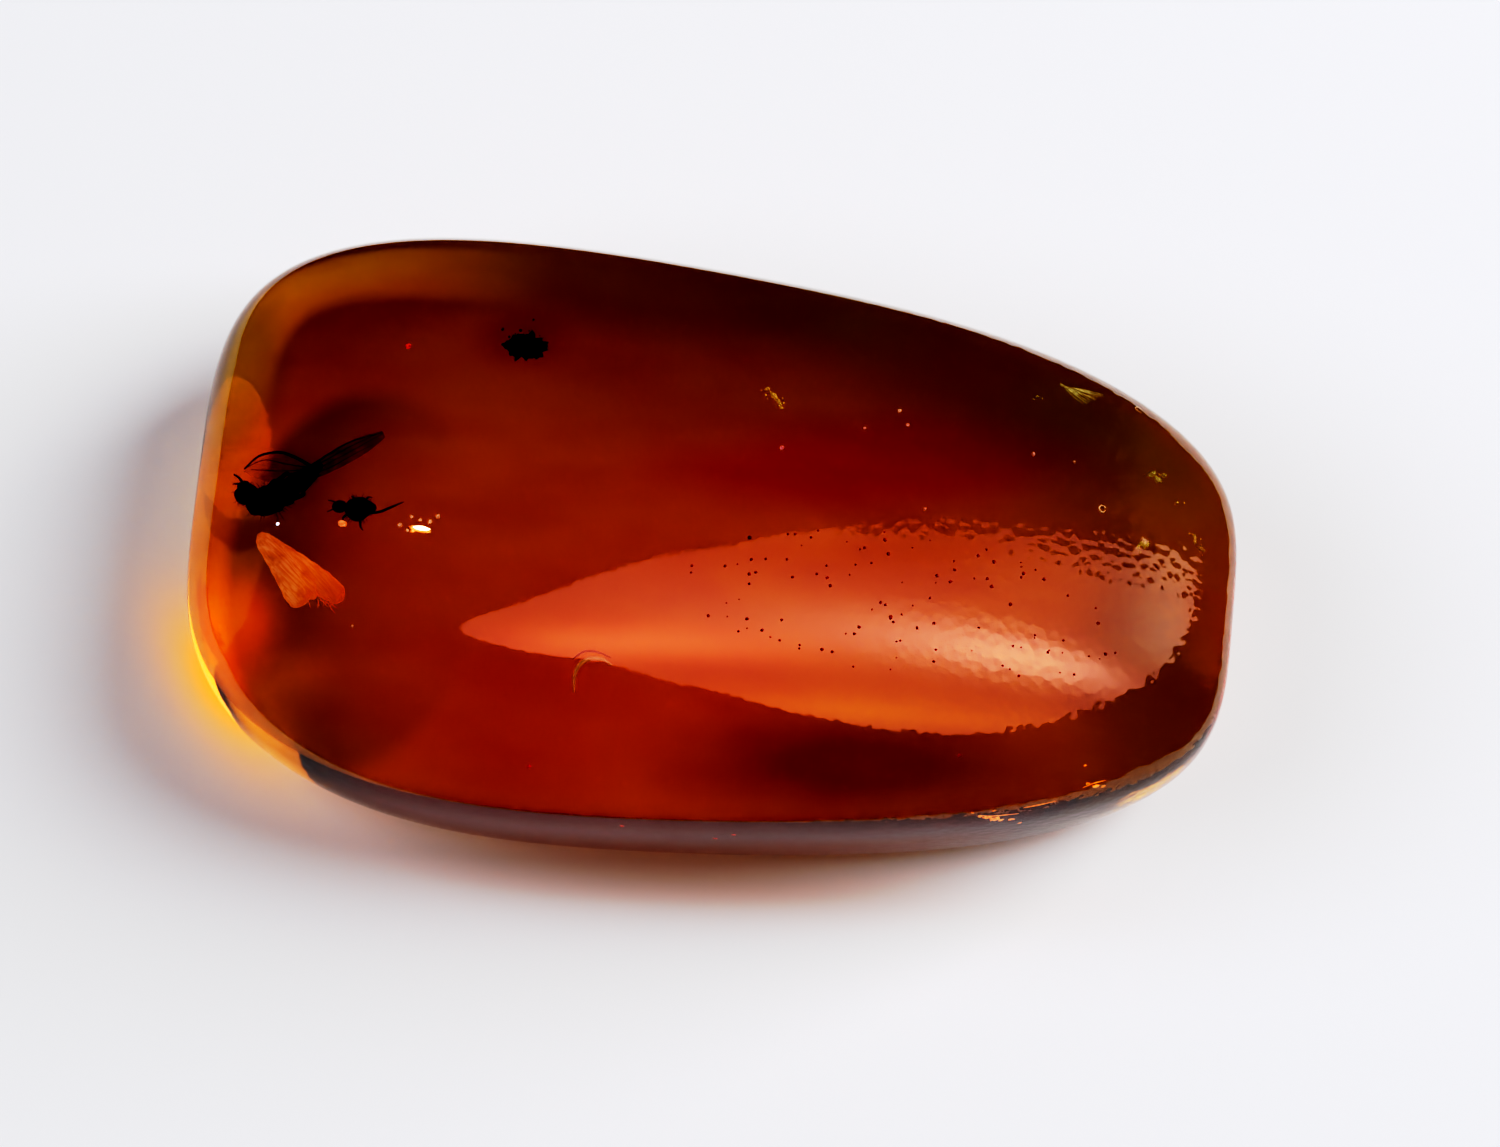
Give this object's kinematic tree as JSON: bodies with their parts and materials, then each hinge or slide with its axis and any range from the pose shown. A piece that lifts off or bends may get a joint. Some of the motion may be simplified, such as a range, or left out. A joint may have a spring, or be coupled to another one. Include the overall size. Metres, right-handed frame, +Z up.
{
  "type": "insect in amber",
  "caption": "Polished, tapered piece of clear red-brown amber with a flat resting face, holding a winged insect, a smaller insect, a pale husk and a crumb of bark.",
  "frame": {"origin": "centre of the bounding box, at the level of the flat resting face", "axes": "+X along the stone towards its narrow end, +Y to the back, +Z up from the resting face through the dome"},
  "size_m": [0.0244, 0.014, 0.0084],
  "materials": {
    "amber": "polished, clear, deep red-brown",
    "chitin": "dark, slightly glossy insect shell",
    "husk": "pale orange, silky",
    "bark": "rough, dark brown"
  },
  "bodies": {
    "root": {"amber_upper": "amber", "amber_lower": "amber", "winged_insect": "chitin", "small_insect": "chitin", "pale_husk": "husk", "bark_crumb": "bark"}
  },
  "joints": []
}
